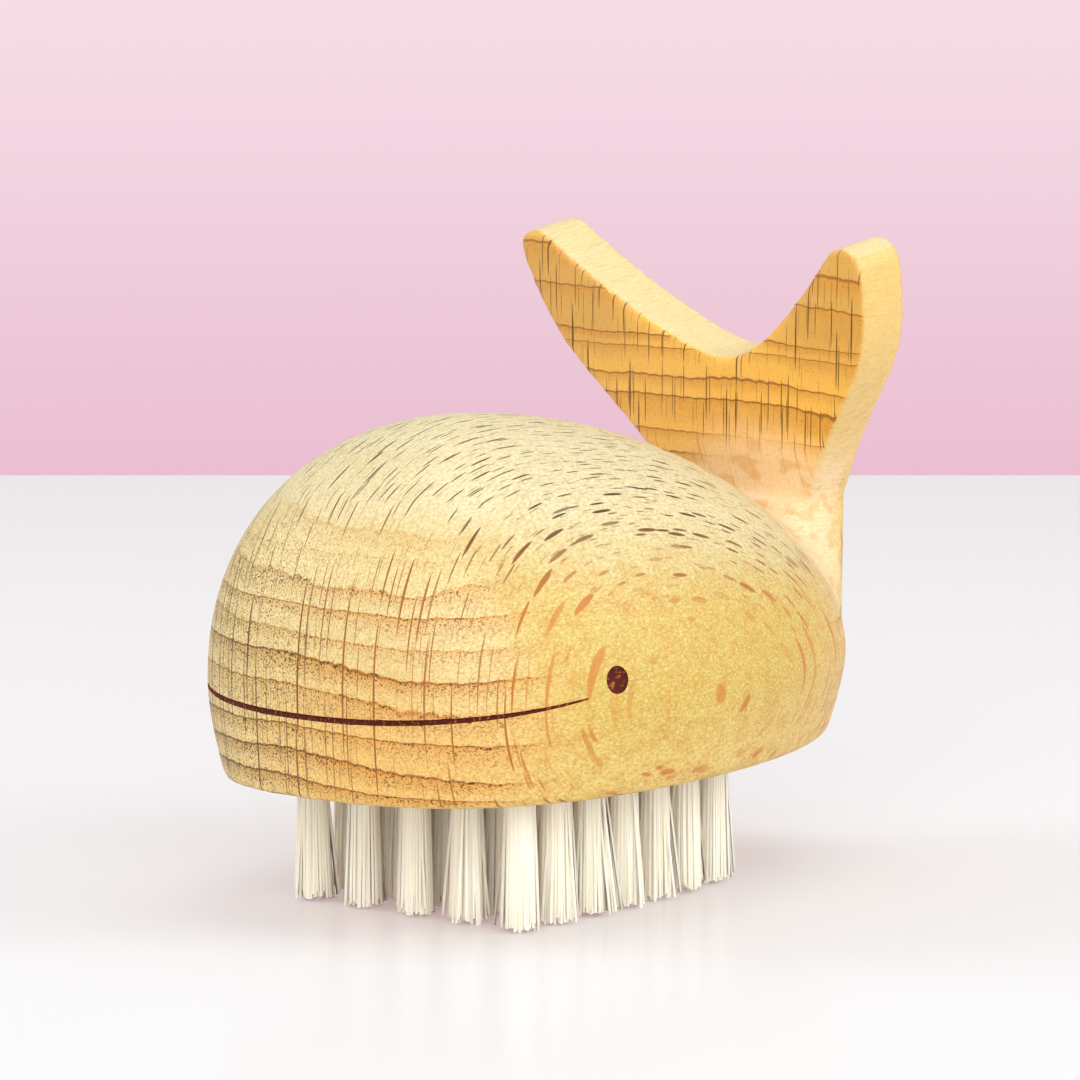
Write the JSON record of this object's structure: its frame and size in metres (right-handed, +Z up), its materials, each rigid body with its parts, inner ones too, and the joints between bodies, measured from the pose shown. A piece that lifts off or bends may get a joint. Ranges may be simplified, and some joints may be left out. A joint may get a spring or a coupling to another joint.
{
  "type": "nail brush",
  "caption": "Wooden nail brush shaped as a plain whale with a standing tail fluke to hold it by, and nylon bristle tufts in its flat underside.",
  "frame": {"origin": "middle of the brush's plan, on the plane that its bristle tips stand on", "axes": "+Z up out of the whale's back, +Y from the nose to the tail, +X to the whale's left side"},
  "size_m": [0.052, 0.081, 0.0678],
  "materials": {
    "beech": "sanded and lightly oiled beech",
    "nylon": "translucent white nylon filament, cut and tipped",
    "anchor_wire": "flat drawn wire"
  },
  "bodies": {
    "root": {"whale_body": "beech", "tuft_anchors": "anchor_wire", "tuft_01": "nylon", "tuft_02": "nylon", "tuft_03": "nylon", "tuft_04": "nylon", "tuft_05": "nylon", "tuft_06": "nylon", "tuft_07": "nylon", "tuft_08": "nylon", "tuft_09": "nylon", "tuft_10": "nylon", "tuft_11": "nylon", "tuft_12": "nylon", "tuft_13": "nylon", "tuft_14": "nylon", "tuft_15": "nylon", "tuft_16": "nylon", "tuft_17": "nylon", "tuft_18": "nylon", "tuft_19": "nylon", "tuft_20": "nylon", "tuft_21": "nylon", "tuft_22": "nylon", "tuft_23": "nylon", "tuft_24": "nylon", "tuft_25": "nylon", "tuft_26": "nylon", "tuft_27": "nylon", "tuft_28": "nylon", "tuft_29": "nylon", "tuft_30": "nylon", "tuft_31": "nylon", "tuft_32": "nylon", "tuft_33": "nylon", "tuft_34": "nylon", "tuft_35": "nylon", "tuft_36": "nylon", "tuft_37": "nylon", "tuft_38": "nylon"}
  },
  "joints": []
}
